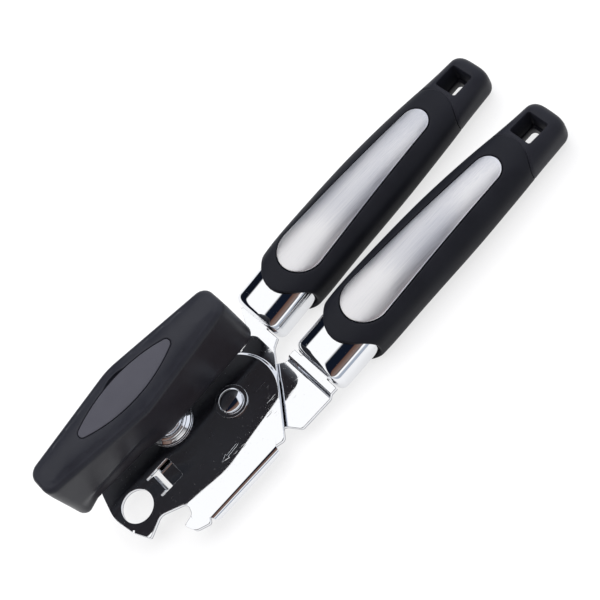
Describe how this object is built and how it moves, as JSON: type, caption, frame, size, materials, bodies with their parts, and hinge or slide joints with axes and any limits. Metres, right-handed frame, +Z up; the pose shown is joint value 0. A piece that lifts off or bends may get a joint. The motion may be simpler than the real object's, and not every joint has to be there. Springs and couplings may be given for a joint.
{
  "type": "manual can opener",
  "caption": "Hand-held can opener: hinged cushioned handles, stamped steel plates, a long turning knob over a serrated feed wheel, a cutting disc and a bottle-opener mouth.",
  "frame": {"origin": "centre of the opener's box in plan, at the level of the handles' flat undersides (z = 0), with the handles shut", "axes": "+X from the head towards the handles' ends, +Y towards the upper plate's handle, +Z up through the knob"},
  "size_m": [0.201, 0.0644, 0.0421],
  "materials": {
    "chrome": "mirror-polished plated steel",
    "brushed_steel": "satin steel brushed along the handle",
    "tool_steel": "machined hardened steel",
    "soft_black": "soft-touch black, finely grained",
    "hard_black": "satin black moulded plastic",
    "knob_grey": "matt dark grey moulded pad"
  },
  "bodies": {
    "upper": {"upper_plate": "chrome", "drive_bushing": "chrome", "pivot_rivet": "chrome", "pivot_washer": "chrome", "pivot_spacer": "tool_steel", "upper_core": "hard_black", "upper_grip": "soft_black", "upper_inlay": "brushed_steel", "upper_ferrule": "chrome", "upper_tang_pin": "tool_steel"},
    "lower": {"lower_plate": "chrome", "cutter_stud": "tool_steel", "cutter_washer": "tool_steel", "lower_core": "hard_black", "lower_grip": "soft_black", "lower_inlay": "brushed_steel", "lower_ferrule": "chrome", "lower_tang_pin": "tool_steel"},
    "drive": {"thrust_washer": "chrome", "knob_shaft": "chrome", "feed_wheel": "tool_steel", "knob_body": "hard_black", "knob_inlay": "knob_grey"},
    "cutter": {"cutter_wheel": "tool_steel"}
  },
  "joints": [
    {"name": "arm_hinge", "type": "hinge", "parent": "upper", "child": "lower", "pos_m": [-0.0402, -0.0049, 0.00945], "axis": [0, 0, 1], "range_deg": [-18, 0]},
    {"name": "knob_spin", "type": "hinge", "parent": "upper", "child": "drive", "pos_m": [-0.0595, 0.0077, 0.00945], "axis": [0, 0, 1], "continuous": true},
    {"name": "cutter_spin", "type": "hinge", "parent": "lower", "child": "cutter", "pos_m": [-0.0595, 0.0227, 0.00195], "axis": [0, 0, 1], "continuous": true}
  ]
}
